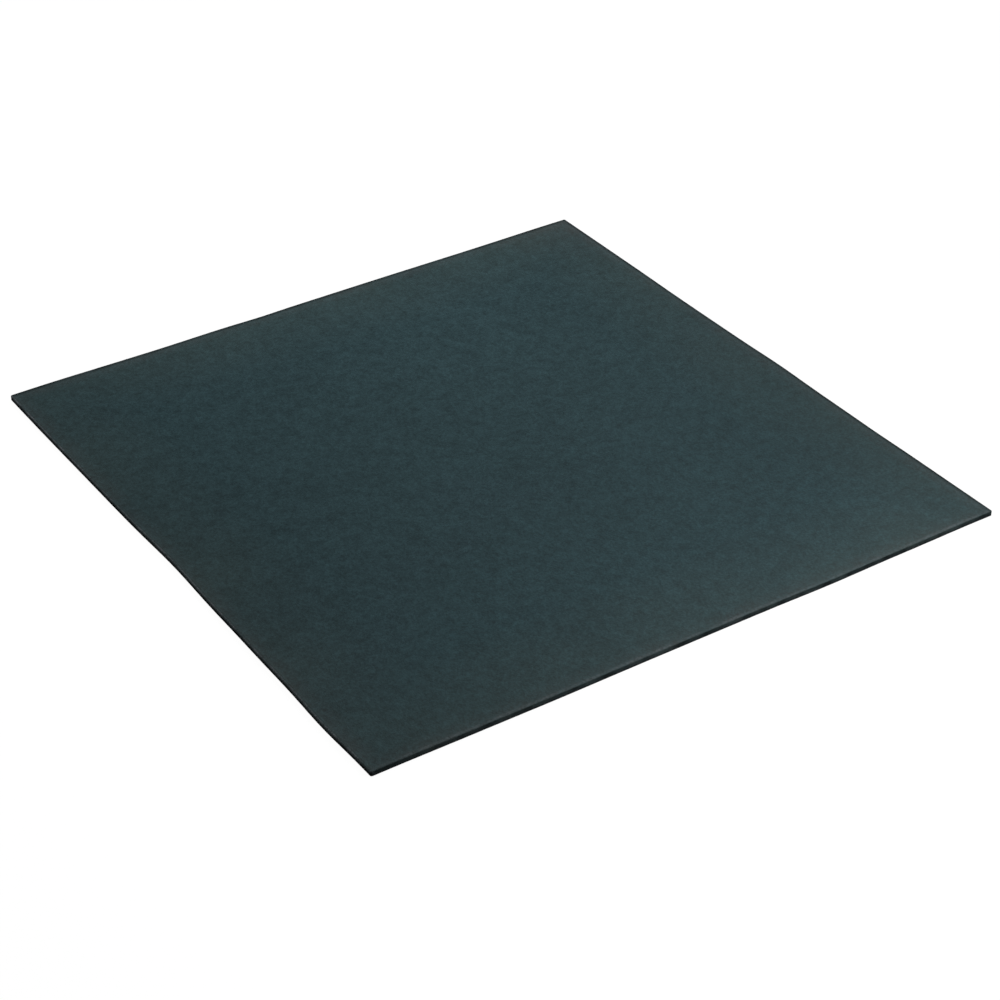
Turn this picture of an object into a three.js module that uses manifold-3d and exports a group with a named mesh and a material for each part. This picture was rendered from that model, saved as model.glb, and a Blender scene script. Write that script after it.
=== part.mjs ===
// Seedling heat mat: a thin electric mat that seed trays stand on.
//
// Two rubber covers are welded together round a rim. Between them lie, from the bottom up, a foam sheet, a
// reflector foil, a fleece that carries the heating wire, the wire in one serpentine, three tapes that hold
// its rows, and a heat spreader foil. The wire's two ends are spliced to cold leads, which run along a lane
// beside the -X rim to a flat two-blade inlet. One lead passes through an overheat cut-out on the way.
//
// Millimetres, +Z up. The origin is the middle of the underside, and X runs along the longer side.

import * as THREE from "three";
import { mergeVertices } from "three/addons/utils/BufferGeometryUtils.js";
import Module from "manifold-3d";

const wasm = await Module();
wasm.setup();

// ---- Driving dimensions ----

// Outside
const LENGTH = 527;
const WIDTH = 508;
const THICKNESS = 4;
const CORNER_RADIUS = 2;
const EDGE_ROUND = 0.5;

// Covers
const BASE_THICKNESS = 1;
const SKIN_THICKNESS = 0.8;
const RIM_WIDTH = 7;
const CORE_CLEARANCE = 0.5;

// Layers inside
const BOND = 0.02; // glue line between one layer and the next
const REFLECTOR_THICKNESS = 0.06;
const CARRIER_THICKNESS = 0.06;
const SPREADER_THICKNESS = 0.08;
const TAPE_THICKNESS = 0.04;
const TAPE_WIDTH = 15;
const TAPE_SPACING = 160;

// Heating wire
const ROWS = 20;
const ROW_PITCH = 25;
const FIELD_LEFT = -222; // outermost reach of the turns at the -X and +X ends
const FIELD_RIGHT = 248;
const CORE_DIAMETER = 0.4;
const SHEATH_DIAMETER = 0.9;
const SHEATH_BORE = 0.44;

// Cold leads
const LEAD_DIAMETER = 1;
const LEAD_BORE = 0.54;
const CONDUCTOR_DIAMETER = 0.5;
const LANE_X = -241;
const LEAD_BEND = 2.5;

// Splices
const SPLICE_X = -232;
const CRIMP_LENGTH = 6;
const CRIMP_DIAMETER = 1;
const CRIMP_BORE = 0.56;
const SHRINK_LENGTH = 12;
const SHRINK_DIAMETER = 1.2;
const SHRINK_BORE = 1.04;
const END_GAP = 0.3; // between a wire's end and what it stops at

// Overheat cut-out
const CUTOUT_Y = -70;
const CUTOUT_LENGTH = 12;
const CUTOUT_WIDTH = 3.6;
const CUTOUT_HEIGHT = 1.1;
const TAB_REACH = 5; // how far a tab stands out of the case
const TAB_DEPTH = 1.5; // how far a tab goes into the case
const TAB_WIDTH = 2.6;
const TAB_THICKNESS = 0.15;
const CUTOUT_SLEEVE_WALL = 0.1;

// Inlet, in the middle of the -X edge
const INLET_LENGTH = 14;
const INLET_WIDTH = 20;
const INLET_HEIGHT = 1.8;
const FLANGE_LENGTH = 1.5;
const SLOT_LENGTH = 10;
const SLOT_WIDTH = 14;
const SLOT_HEIGHT = 1.2;
const KEY_WIDTH = 1.2;
const KEY_DEPTH = 0.15;
const BLADE_THICKNESS = 0.4;
const BLADE_WIDTH = 3;
const BLADE_RECESS = 1.5;
const BLADE_TAIL = 5; // how far a blade stands out of the back of the housing
const BLADE_SPACING = 8;
const SEAL_WIDTH = 0.8;
const SEAL_LENGTH = 4;
const SLIP = 0.03; // clearance round a piece that is pushed into another

// Cutters and windows
const OVERRUN = 1; // how far a cutter runs past what it cuts
const WINDOW_GAP = 0.5; // round a piece that stands in a window through the layers

// Fineness of the curves
const ROUND_SIDES = 8; // of leads, crimps and sleeves
const WIRE_SIDES = 6; // of the heating wire
const BEND_STEPS = 4; // straight pieces in a quarter turn of wire
const CORNER_STEPS = 4; // straight pieces in a corner of a sheet
const ROUND_STEPS = 3; // facets across a rounded edge
const SAME_POINT = 1e-6;

// ---- Places worked out from those ----

const CAVITY_LENGTH = LENGTH - 2 * RIM_WIDTH;
const CAVITY_WIDTH = WIDTH - 2 * RIM_WIDTH;
const CAVITY_TOP = THICKNESS - SKIN_THICKNESS;
const CORE_LENGTH = CAVITY_LENGTH - 2 * CORE_CLEARANCE;
const CORE_WIDTH = CAVITY_WIDTH - 2 * CORE_CLEARANCE;

// Heights of the layers, from the top skin down; the foam takes what is left
const SPREADER_Z = CAVITY_TOP - BOND - SPREADER_THICKNESS;
const WIRE_Z = SPREADER_Z - BOND - LEAD_DIAMETER / 2;
const CARRIER_Z = WIRE_Z - LEAD_DIAMETER / 2 - BOND - CARRIER_THICKNESS;
const REFLECTOR_Z = CARRIER_Z - BOND - REFLECTOR_THICKNESS;
const FOAM_Z = BASE_THICKNESS + BOND;
const FOAM_THICKNESS = REFLECTOR_Z - BOND - FOAM_Z;
const TAPE_Z = SPREADER_Z - BOND - TAPE_THICKNESS;

const OUTER_ROW_Y = ((ROWS - 1) / 2) * ROW_PITCH;
const SPREADER_LEFT = SPLICE_X + SHRINK_LENGTH / 2 + WINDOW_GAP;

// A conductor is soldered to the top of a blade or a tab
const SOLDER_TOP = WIRE_Z - CONDUCTOR_DIAMETER / 2 - BOND;
const CUTOUT_Z = SOLDER_TOP - TAB_THICKNESS / 2;
const BLADE_Z = SOLDER_TOP - BLADE_THICKNESS / 2;
const BLADE_TAIL_X = -LENGTH / 2 + INLET_LENGTH + BLADE_TAIL;

// ---- Materials ----

function plain(color, roughness, metalness = 0) {
  return new THREE.MeshStandardMaterial({ color, roughness, metalness });
}

const coverRubber = plain(0x2f3f42, 0.6);
const baseRubber = plain(0x15191a, 0.75);
const sealRubber = plain(0x3a3f40, 0.7);
const foam = plain(0xd9dcd8, 0.95);
const fleece = plain(0xe9e6da, 0.95);
const foil = plain(0xd4d7da, 0.25, 1);
const tapeFilm = plain(0xc99a3a, 0.35);
const resistanceAlloy = plain(0x8f8a80, 0.35, 1);
const silicone = plain(0xb5483a, 0.5);
const leadInsulation = plain(0x2a2b2e, 0.5);
const tinnedCopper = plain(0xc8c2b4, 0.3, 1);
const brass = plain(0xc9a75a, 0.3, 1);
const nylon = plain(0x1a1c1d, 0.55);
const shrinkSleeve = plain(0x20242c, 0.5);

// ---- Shapes and solids ----

function roundedRectangle(length, width, radius) {
  const x = length / 2 - radius;
  const y = width / 2 - radius;
  const quarter = Math.PI / 2;
  const shape = new THREE.Shape();
  shape.absarc(x, -y, radius, -quarter, 0);
  shape.absarc(x, y, radius, 0, quarter);
  shape.absarc(-x, y, radius, quarter, 2 * quarter);
  shape.absarc(-x, -y, radius, 2 * quarter, 3 * quarter);
  return shape;
}

function extruded(shape, height) {
  const options = { depth: height, bevelEnabled: false, curveSegments: CORNER_STEPS };
  return new THREE.ExtrudeGeometry(shape, options);
}

function box(length, width, height) {
  return new THREE.BoxGeometry(length, width, height);
}

function solidOf(geometry) {
  const bare = geometry.clone();
  bare.deleteAttribute("normal");
  bare.deleteAttribute("uv");
  const merged = mergeVertices(bare);
  const vertProperties = merged.attributes.position.array;
  const triVerts = new Uint32Array(merged.index.array);
  return new wasm.Manifold(new wasm.Mesh({ numProp: 3, vertProperties, triVerts }));
}

function geometryOf(solid) {
  const { vertProperties, triVerts } = solid.getMesh();
  const geometry = new THREE.BufferGeometry();
  geometry.setAttribute("position", new THREE.BufferAttribute(vertProperties, 3));
  geometry.setIndex(new THREE.BufferAttribute(triVerts, 1));
  const faceted = geometry.toNonIndexed();
  faceted.computeVertexNormals();
  return faceted;
}

// The first geometry less all the others
function cut(body, ...tools) {
  return geometryOf(tools.reduce((left, tool) => left.subtract(solidOf(tool)), solidOf(body)));
}

function join(first, second) {
  return geometryOf(solidOf(first).add(solidOf(second)));
}

function piece(name, geometry, material, x = 0, y = 0, z = 0) {
  const mesh = new THREE.Mesh(geometry, material);
  mesh.name = name;
  mesh.position.set(x, y, z);
  return mesh;
}

function group(...children) {
  return new THREE.Group().add(...children);
}

// ---- Wires ----

// A path through way-points with right-angled, rounded corners. Its parameter counts stations, which stand
// only at the ends and along the bends, so a tube along it spends no faces on its straight runs.
class RoutedPath extends THREE.Curve {
  constructor(wayPoints, bendRadius) {
    super();
    this.stations = wayPoints.flatMap((point, i) =>
      i === 0 || i === wayPoints.length - 1
        ? [point]
        : RoutedPath.corner(wayPoints[i - 1], point, wayPoints[i + 1], bendRadius),
    );
    this.stations = this.stations.filter((p, i, all) => i === 0 || p.distanceTo(all[i - 1]) > SAME_POINT);
  }

  static corner(before, point, after, radius) {
    const back = before.clone().sub(point).setLength(radius);
    const ahead = after.clone().sub(point).setLength(radius);
    const centre = point.clone().add(back).add(ahead);
    return Array.from({ length: BEND_STEPS + 1 }, (_, i) => {
      const turn = ((i / BEND_STEPS) * Math.PI) / 2;
      return centre.clone().addScaledVector(ahead, -Math.cos(turn)).addScaledVector(back, -Math.sin(turn));
    });
  }

  getPoint(t, target = new THREE.Vector3()) {
    const last = this.stations.length - 1;
    const at = Math.min(Math.floor(t * last), last - 1);
    return target.lerpVectors(this.stations[at], this.stations[at + 1], t * last - at);
  }

  getUtoTmapping(u) {
    return u;
  }
}

function circle(diameter, sides, ShapeClass = THREE.Shape) {
  const corners = Array.from({ length: sides }, (_, i) => {
    const angle = (2 * Math.PI * i) / sides;
    return new THREE.Vector2(Math.cos(angle), Math.sin(angle)).multiplyScalar(diameter / 2);
  });
  return new ShapeClass(corners);
}

// A rod along a path, or a tube if it has a bore
function wire(path, diameter, sides, bore = 0) {
  const section = circle(diameter, sides);
  if (bore > 0) section.holes.push(circle(bore, sides, THREE.Path));
  return new THREE.ExtrudeGeometry(section, { steps: path.stations.length - 1, extrudePath: path });
}

function flatPath(corners, bendRadius) {
  return new RoutedPath(
    corners.map(([x, y]) => new THREE.Vector3(x, y, 0)),
    bendRadius,
  );
}

// The serpentine. Its two ends, on the first and the last row, stop at endX.
function heatingPath(endX) {
  const corners = [];
  for (let row = 0; row < ROWS; row++) {
    const y = row * ROW_PITCH - OUTER_ROW_Y;
    const left = row === 0 || row === ROWS - 1 ? endX : FIELD_LEFT;
    corners.push(...(row % 2 === 0 ? [[left, y], [FIELD_RIGHT, y]] : [[FIELD_RIGHT, y], [left, y]]));
  }
  return flatPath(corners, ROW_PITCH / 2);
}

// ---- Covers ----

// The whole mat's outside as one block, its edges rounded over
function matBlock() {
  return new THREE.ExtrudeGeometry(roundedRectangle(LENGTH, WIDTH, CORNER_RADIUS), {
    depth: THICKNESS - 2 * EDGE_ROUND,
    curveSegments: CORNER_STEPS,
    bevelThickness: EDGE_ROUND,
    bevelSize: EDGE_ROUND,
    bevelOffset: -EDGE_ROUND,
    bevelSegments: ROUND_STEPS,
  }).translate(0, 0, EDGE_ROUND);
}

// A cutter wider than the mat, for taking away all above or all below the weld line between the covers
function slab(bottom, top) {
  const height = top - bottom;
  return box(LENGTH + 2 * OVERRUN, WIDTH + 2 * OVERRUN, height).translate(0, 0, bottom + height / 2);
}

function topCover() {
  const cavity = extruded(roundedRectangle(CAVITY_LENGTH, CAVITY_WIDTH, CORNER_RADIUS), CAVITY_TOP);
  const inletGate = box(2 * (RIM_WIDTH + OVERRUN), INLET_WIDTH + 2 * (SEAL_WIDTH + SLIP), 2 * CAVITY_TOP);
  inletGate.translate(-LENGTH / 2, 0, 0);
  return cut(matBlock(), slab(-OVERRUN, BASE_THICKNESS), cavity, inletGate);
}

function covers() {
  return group(
    piece("top_cover", topCover(), coverRubber),
    piece("bottom_cover", cut(matBlock(), slab(BASE_THICKNESS, THICKNESS + OVERRUN)), baseRubber),
  );
}

// ---- Layers ----

// A cutter for a window through the layers, centred on x and y, that leaves a gap round what stands in it
function window(x, y, length, width) {
  return box(length + 2 * WINDOW_GAP, width + 2 * WINDOW_GAP, 4 * THICKNESS).translate(x, y, 0);
}

function inletWindow() {
  return window(-LENGTH / 2, 0, 2 * (INLET_LENGTH + BLADE_TAIL), INLET_WIDTH + 2 * SEAL_WIDTH);
}

function cutoutWindow() {
  return window(LANE_X, CUTOUT_Y, CUTOUT_WIDTH, CUTOUT_LENGTH + 2 * TAB_REACH);
}

function spliceWindow(y) {
  return window(SPLICE_X, y, SHRINK_LENGTH, SHRINK_DIAMETER);
}

function coreSheet(thickness) {
  return extruded(roundedRectangle(CORE_LENGTH, CORE_WIDTH, CORNER_RADIUS), thickness);
}

function windowedSheet(thickness) {
  const splices = [-OUTER_ROW_Y, OUTER_ROW_Y].map(spliceWindow);
  return cut(coreSheet(thickness), inletWindow(), cutoutWindow(), ...splices);
}

// The cut-out sinks into a pocket in the foam
function insulationFoam() {
  const pocketFloor = CUTOUT_Z - CUTOUT_HEIGHT / 2 - SLIP - CUTOUT_SLEEVE_WALL - BOND;
  const pocket = cutoutWindow().translate(0, 0, pocketFloor - FOAM_Z + 2 * THICKNESS);
  return cut(coreSheet(FOAM_THICKNESS), inletWindow(), pocket);
}

function layers() {
  const spreaderLength = CORE_LENGTH / 2 - SPREADER_LEFT;
  const spreader = extruded(roundedRectangle(spreaderLength, CORE_WIDTH, CORNER_RADIUS), SPREADER_THICKNESS);
  const spreaderX = SPREADER_LEFT + spreaderLength / 2;
  return group(
    piece("insulation_foam", insulationFoam(), foam, 0, 0, FOAM_Z),
    piece("reflector_foil", windowedSheet(REFLECTOR_THICKNESS), foil, 0, 0, REFLECTOR_Z),
    piece("wire_carrier", windowedSheet(CARRIER_THICKNESS), fleece, 0, 0, CARRIER_Z),
    piece("heat_spreader_foil", spreader, foil, spreaderX, 0, SPREADER_Z),
  );
}

// ---- Heating wire and its tapes ----

function heatingWire() {
  const corePath = heatingPath(SPLICE_X + END_GAP);
  const sheathPath = heatingPath(SPLICE_X + CRIMP_LENGTH / 2 + END_GAP);
  const made = group(
    piece("heating_wire_core", wire(corePath, CORE_DIAMETER, WIRE_SIDES), resistanceAlloy),
    piece("heating_wire_sheath", wire(sheathPath, SHEATH_DIAMETER, WIRE_SIDES, SHEATH_BORE), silicone),
  );
  made.position.z = WIRE_Z;
  return made;
}

function fixingTapes() {
  const middleX = (FIELD_LEFT + FIELD_RIGHT) / 2;
  const tapeZ = TAPE_Z + TAPE_THICKNESS / 2;
  const tape = box(TAPE_WIDTH, 2 * OUTER_ROW_Y + ROW_PITCH / 2, TAPE_THICKNESS);
  return group(
    ...["left", "middle", "right"].map((side, i) =>
      piece("fixing_tape_" + side, tape, tapeFilm, middleX + (i - 1) * TAPE_SPACING, 0, tapeZ),
    ),
  );
}

// ---- Splices, leads and cut-out ----

function splice(side, y) {
  const straight = (length) => flatPath([[-length / 2, 0], [length / 2, 0]], 0);
  const crimp = wire(straight(CRIMP_LENGTH), CRIMP_DIAMETER, ROUND_SIDES, CRIMP_BORE);
  const sleeve = wire(straight(SHRINK_LENGTH), SHRINK_DIAMETER, ROUND_SIDES, SHRINK_BORE);
  const made = group(
    piece("splice_crimp_" + side, crimp, brass),
    piece("splice_sleeve_" + side, sleeve, shrinkSleeve),
  );
  made.position.set(SPLICE_X, y, WIRE_Z);
  return made;
}

// An insulated lead. Its conductor is bare for stripStart and stripEnd at the two ends of the route.
function lead(name, corners, stripStart, stripEnd) {
  const stripped = corners.map((corner) => [...corner]);
  shorten(stripped[0], stripped[1], stripStart);
  shorten(stripped[stripped.length - 1], stripped[stripped.length - 2], stripEnd);
  const conductor = wire(flatPath(corners, LEAD_BEND), CONDUCTOR_DIAMETER, ROUND_SIDES);
  const insulation = wire(flatPath(stripped, LEAD_BEND), LEAD_DIAMETER, ROUND_SIDES, LEAD_BORE);
  const made = group(
    piece(name + "_conductor", conductor, tinnedCopper),
    piece(name + "_insulation", insulation, leadInsulation),
  );
  made.position.z = WIRE_Z;
  return made;
}

// Moves an end point towards the next corner, along X or along Y
function shorten(end, next, distance) {
  end[0] += Math.sign(next[0] - end[0]) * distance;
  end[1] += Math.sign(next[1] - end[1]) * distance;
}

function leads() {
  const solderLength = BLADE_TAIL - END_GAP;
  const tailX = BLADE_TAIL_X - solderLength;
  const inletY = BLADE_SPACING / 2;
  const crimpedX = SPLICE_X - END_GAP;
  const crimpStrip = CRIMP_LENGTH / 2;
  const nearTab = CUTOUT_LENGTH / 2 + CUTOUT_SLEEVE_WALL + END_GAP;
  const tabStrip = CUTOUT_LENGTH / 2 + TAB_REACH - nearTab;
  const supply = [[tailX, -inletY], [LANE_X, -inletY], [LANE_X, CUTOUT_Y + nearTab]];
  const link = [[LANE_X, CUTOUT_Y - nearTab], [LANE_X, -OUTER_ROW_Y], [crimpedX, -OUTER_ROW_Y]];
  const back = [[crimpedX, OUTER_ROW_Y], [LANE_X, OUTER_ROW_Y], [LANE_X, inletY], [tailX, inletY]];
  return group(
    lead("supply_lead", supply, solderLength, tabStrip),
    lead("link_lead", link, tabStrip, crimpStrip),
    lead("return_lead", back, crimpStrip, solderLength),
  );
}

function cutout() {
  const tab = box(TAB_WIDTH, TAB_DEPTH + TAB_REACH, TAB_THICKNESS);
  const tabY = CUTOUT_LENGTH / 2 + (TAB_REACH - TAB_DEPTH) / 2;
  const tabSlot = box(TAB_WIDTH + 2 * SLIP, TAB_DEPTH + TAB_REACH + 2 * SLIP, TAB_THICKNESS + 2 * SLIP);
  const body = cut(
    box(CUTOUT_WIDTH, CUTOUT_LENGTH, CUTOUT_HEIGHT),
    tabSlot.clone().translate(0, tabY, 0),
    tabSlot.clone().translate(0, -tabY, 0),
  );
  const bore = box(CUTOUT_WIDTH + 2 * SLIP, 2 * CUTOUT_LENGTH, CUTOUT_HEIGHT + 2 * SLIP);
  const outside = box(
    CUTOUT_WIDTH + 2 * (SLIP + CUTOUT_SLEEVE_WALL),
    CUTOUT_LENGTH + 2 * CUTOUT_SLEEVE_WALL,
    CUTOUT_HEIGHT + 2 * (SLIP + CUTOUT_SLEEVE_WALL),
  );
  const made = group(
    piece("cutout_case", body, nylon),
    piece("cutout_tab_supply", tab, brass, 0, tabY),
    piece("cutout_tab_link", tab, brass, 0, -tabY),
    piece("cutout_sleeve", cut(outside, bore), shrinkSleeve),
  );
  made.position.set(LANE_X, CUTOUT_Y, CUTOUT_Z);
  return made;
}

// ---- Inlet ----

// Local frame: origin in the middle of the mouth, X into the mat, Z at the middle of the blades
function inlet() {
  const gateBottom = BASE_THICKNESS - BLADE_Z;
  const gateTop = CAVITY_TOP - BLADE_Z;
  const gateMiddle = (gateBottom + gateTop) / 2;
  const gateHeight = gateTop - gateBottom;
  const gateWidth = INLET_WIDTH + 2 * SEAL_WIDTH;

  const bladeLength = INLET_LENGTH + BLADE_TAIL - BLADE_RECESS;
  const bladeX = BLADE_RECESS + bladeLength / 2;
  const blade = box(bladeLength, BLADE_WIDTH, BLADE_THICKNESS);

  const body = box(INLET_LENGTH, INLET_WIDTH, INLET_HEIGHT).translate(INLET_LENGTH / 2, 0, gateMiddle);
  const flange = box(FLANGE_LENGTH, gateWidth, gateHeight - 2 * BOND);
  flange.translate(FLANGE_LENGTH / 2, 0, gateMiddle);
  const slot = box(2 * SLOT_LENGTH, SLOT_WIDTH, SLOT_HEIGHT);
  const key = box(2 * SLOT_LENGTH, KEY_WIDTH, SLOT_HEIGHT / 2 + KEY_DEPTH);
  key.translate(0, (SLOT_WIDTH - KEY_WIDTH) / 2, (SLOT_HEIGHT / 2 + KEY_DEPTH) / 2);
  const bladeHole = box(2 * INLET_LENGTH, BLADE_WIDTH + 2 * SLIP, BLADE_THICKNESS + 2 * SLIP);
  const bladeHoles = [-1, 1].map((side) =>
    bladeHole.clone().translate(INLET_LENGTH, (side * BLADE_SPACING) / 2, 0),
  );
  const housing = cut(join(body, flange), slot, key, ...bladeHoles);

  const seal = cut(
    box(SEAL_LENGTH, gateWidth, gateHeight - 2 * BOND),
    box(2 * SEAL_LENGTH, INLET_WIDTH + 2 * SLIP, INLET_HEIGHT + 2 * SLIP),
  );
  const sealX = FLANGE_LENGTH + END_GAP + SEAL_LENGTH / 2;

  const made = group(
    piece("inlet_housing", housing, nylon),
    piece("inlet_blade_supply", blade, brass, bladeX, -BLADE_SPACING / 2),
    piece("inlet_blade_return", blade, brass, bladeX, BLADE_SPACING / 2),
    piece("inlet_seal", seal, sealRubber, sealX, 0, gateMiddle),
  );
  made.position.set(-LENGTH / 2, 0, BLADE_Z);
  return made;
}

// ---- The whole mat ----

const heatMat = group(
  covers(),
  layers(),
  heatingWire(),
  fixingTapes(),
  splice("supply", -OUTER_ROW_Y),
  splice("return", OUTER_ROW_Y),
  leads(),
  cutout(),
  inlet(),
);

export default heatMat;
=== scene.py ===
"""Looks for a seedling heat mat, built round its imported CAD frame.

The two rubber covers are remade as fine meshes: a rolled and slightly beaded top edge, a weld line round the
side, and edges that wander a little, as a soft sheet's do. The wires, leads, crimps and splice sleeves are
remade round and smooth. Every other piece keeps its CAD mesh, with its edges softened. All materials are
procedural. Lengths are in metres, in the frame's own axes: X along the longer side, Z up.
"""

import math

import bmesh
import bpy
from mathutils import Matrix, Vector, noise


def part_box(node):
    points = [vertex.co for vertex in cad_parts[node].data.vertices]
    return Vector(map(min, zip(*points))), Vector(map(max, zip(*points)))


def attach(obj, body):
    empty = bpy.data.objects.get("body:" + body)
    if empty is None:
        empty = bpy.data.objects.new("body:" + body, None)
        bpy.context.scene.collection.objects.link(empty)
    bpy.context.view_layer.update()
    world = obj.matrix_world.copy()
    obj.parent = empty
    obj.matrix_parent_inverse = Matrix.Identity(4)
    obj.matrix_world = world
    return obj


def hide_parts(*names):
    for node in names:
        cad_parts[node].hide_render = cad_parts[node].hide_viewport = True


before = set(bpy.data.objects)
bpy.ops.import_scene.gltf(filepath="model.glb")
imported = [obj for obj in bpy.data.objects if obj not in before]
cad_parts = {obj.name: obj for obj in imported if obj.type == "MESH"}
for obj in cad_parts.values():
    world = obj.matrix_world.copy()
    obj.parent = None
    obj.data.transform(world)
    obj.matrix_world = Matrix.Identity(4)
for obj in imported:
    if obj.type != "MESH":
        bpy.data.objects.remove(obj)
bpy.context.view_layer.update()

MM = 0.001
SEED = 1
noise.seed_set(SEED)  # without it, the cut edge's unevenness would differ from run to run

# ---- Sizes, from the frame ----

HALF_X, HALF_Y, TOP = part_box("top_cover")[1]
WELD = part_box("bottom_cover")[1].z
HOUSING_LOW, HOUSING_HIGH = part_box("inlet_housing")
LINK_LOW, LINK_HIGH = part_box("link_lead_insulation")


def half_height(node):
    low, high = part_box(node)
    return (high.z - low.z) / 2


CAVITY_GAP = 0.5 * MM  # between the layers inside and the rim
CAVITY_INSET = HALF_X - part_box("insulation_foam")[1].x - CAVITY_GAP
CAVITY_HEADROOM = 0.02 * MM
CAVITY_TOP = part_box("heat_spreader_foil")[1].z + CAVITY_HEADROOM

# ---- Shape of the covers ----

CORNER = 1.4 * MM
CORNER_STEPS = 6
CELLS_X = 84  # of the grid that fills a flat face
CELLS_Y = 81
FINE = 4  # outline points for each grid cell

BEAD_HEIGHT = 0.14 * MM
BEAD_INSET = 1.7 * MM
BEAD_WIDTH = 1.3 * MM
BEAD_STEPS = 8
ROLL = 0.7 * MM
ROLL_STEPS = 6
BASE_ROLL = 0.35 * MM
WELD_DEPTH = 0.14 * MM
WELD_HEIGHT = 0.16 * MM

# Where a soft edge wanders: side, place along it as a share, how far outwards, and over what share
EDGE_WANDER = (
    ("front", 0.10, 0.45 * MM, 0.15),
    ("front", 0.50, -1.7 * MM, 0.09),
    ("front", 0.66, -0.4 * MM, 0.06),
    ("front", 0.89, 1.2 * MM, 0.06),
    ("right", 0.02, -0.6 * MM, 0.10),
    ("right", 0.28, 0.3 * MM, 0.07),
    ("right", 0.71, 0.75 * MM, 0.07),
    ("right", 0.96, -0.5 * MM, 0.07),
    ("back", 0.33, -0.45 * MM, 0.10),
    ("back", 0.55, 0.9 * MM, 0.06),
    ("back", 0.76, -0.35 * MM, 0.05),
    ("left", 0.07, 0.6 * MM, 0.07),
    ("left", 0.25, -0.5 * MM, 0.07),
    ("left", 0.42, -0.7 * MM, 0.04),
    ("left", 0.66, 0.25 * MM, 0.10),
    ("left", 0.95, 0.8 * MM, 0.10),
)
WANDER_INNER = 6.5 * MM  # the wander dies out here, short of the layers inside
WANDER_OUTER = 2.5 * MM

# Along each side the edge takes painted shade, and inside the shade runs a painted highlight with a little
# edge wear.
# Both are placed by their distance in from the edge, which is negative down the side face. Each side has how
# strong the painted shade is, where it begins to fade and where it ends, then the highlight's middle, half
# its width and how strong it is.
EDGE_PAINTED_LIGHT = {
    "left": (0.55, 1.7 * MM, 4.5 * MM, 5.2 * MM, 2.6 * MM, 0.45),
    "back": (0.60, 1.4 * MM, 3.4 * MM, 4.3 * MM, 1.8 * MM, 0.55),
    "right": (0.70, -0.7 * MM, 0.7 * MM, 1.6 * MM, 2.0 * MM, 1.2),
    "front": (0.75, -1.9 * MM, -0.8 * MM, 0.1 * MM, 1.4 * MM, 4.6),
}

SWELL = 0.10 * MM  # slow rise and fall of the top
SWELL_LENGTH = 110 * MM
SWELL_DETAIL = 2.3  # how much shorter the second, weaker swell is
SWELL_DETAIL_SHARE = 0.4
SWELL_DETAIL_PLACE = Vector((7, 3, 1))  # keeps the two swells apart
CUT_ROUGHNESS = 0.035 * MM  # small unevenness of the cut edge
CUT_LENGTH = 5 * MM
CUT_DETAIL = 2.7  # how much finer the second, weaker unevenness is
CUT_DETAIL_SHARE = 0.5
CUT_HEIGHT_SHARE = 3  # the unevenness is this much shorter up the side than along it
CREASE = math.radians(50)  # edges sharper than this stay creased
GATE_GAP = 0.03 * MM
GATE_OVERRUN = 1 * MM

# ---- Wires ----

WIRE_Z = (LINK_LOW.z + LINK_HIGH.z) / 2
ROWS = 20
ROW_PITCH = 25 * MM
FIELD_LEFT = -222 * MM  # where the rows turn
FIELD_RIGHT = 248 * MM
CORE_RADIUS = half_height("heating_wire_core")
SHEATH_RADIUS = half_height("heating_wire_sheath")
SHEATH_BORE = 0.22 * MM
LEAD_RADIUS = half_height("link_lead_insulation")
LEAD_BORE = 0.27 * MM
LEAD_BEND = 2.5 * MM
LANE_X = LINK_LOW.x + LEAD_RADIUS
CONDUCTOR_RADIUS = half_height("link_lead_conductor")
STRAND_GROOVE = 0.16  # depth of the grooves between strands, as a share of the conductor's radius
STRAND_LAY = 8 * MM  # length in which a strand goes once round
CRIMP_RADIUS = half_height("splice_crimp_supply")
CRIMP_BORE = 0.28 * MM
CRIMP_PRESS = 0.6 * MM  # half the length of a pressed place
CRIMP_LEAD_PRESS = (0.05 * MM, 0.012 * MM)  # how deep it is outside and inside, over the lead
CRIMP_WIRE_PRESS = (0.09 * MM, 0.06 * MM)  # and over the thinner heating wire
CRIMP_END_SOFTNESS = 0.06 * MM
SLEEVE_RADIUS = half_height("splice_sleeve_supply")
SLEEVE_BORE = 0.52 * MM
SLEEVE_NECK = 0.78  # share of a sleeve's length after which it shrinks on to the thinner heating wire
SLEEVE_NECK_LENGTH = 1.2 * MM
SLEEVE_SHRINK = 0.05 * MM
SLEEVE_RIPPLE = 0.008 * MM

TURN_STEPS = 12  # of a quarter turn
CORE_SIDES = 10
SHEATH_SIDES = 14
LEAD_SIDES = 20
STRAND_SIDES = 24
WIRE_SPACING = 8 * MM
STRAND_SPACING = 0.7 * MM
SPLICE_SPACING = 0.2 * MM
SAME_PLACE = 0.001 * MM  # points nearer than this are one
BEVEL_SEGMENTS = 2


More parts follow.
